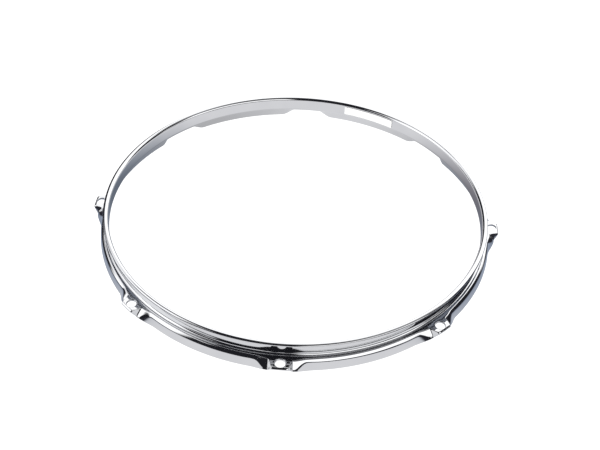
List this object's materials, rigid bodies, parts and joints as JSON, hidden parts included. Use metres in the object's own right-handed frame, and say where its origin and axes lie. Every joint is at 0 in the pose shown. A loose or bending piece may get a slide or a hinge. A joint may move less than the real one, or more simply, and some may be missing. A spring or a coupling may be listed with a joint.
{
  "type": "drum hoop",
  "caption": "Chromed pressed-steel counterhoop for a drum: flanged top edge, stepped ledge, skirt, and pierced ears round the outside for tension rods.",
  "frame": {"origin": "on the drum's axis, level with the foot of the skirt", "axes": "+Z along the drum's axis, from the skirt's foot to the flange that the sticks meet; an ear lies on each of +X, +Y, -X and -Y"},
  "size_m": [0.3954, 0.3954, 0.0264],
  "materials": {
    "chromed_steel": "mirror-bright chrome plating on pressed steel",
    "label_paper": "plain white adhesive label, blank"
  },
  "bodies": {
    "root": {"pressed_hoop": "chromed_steel", "blank_label": "label_paper"}
  },
  "joints": []
}
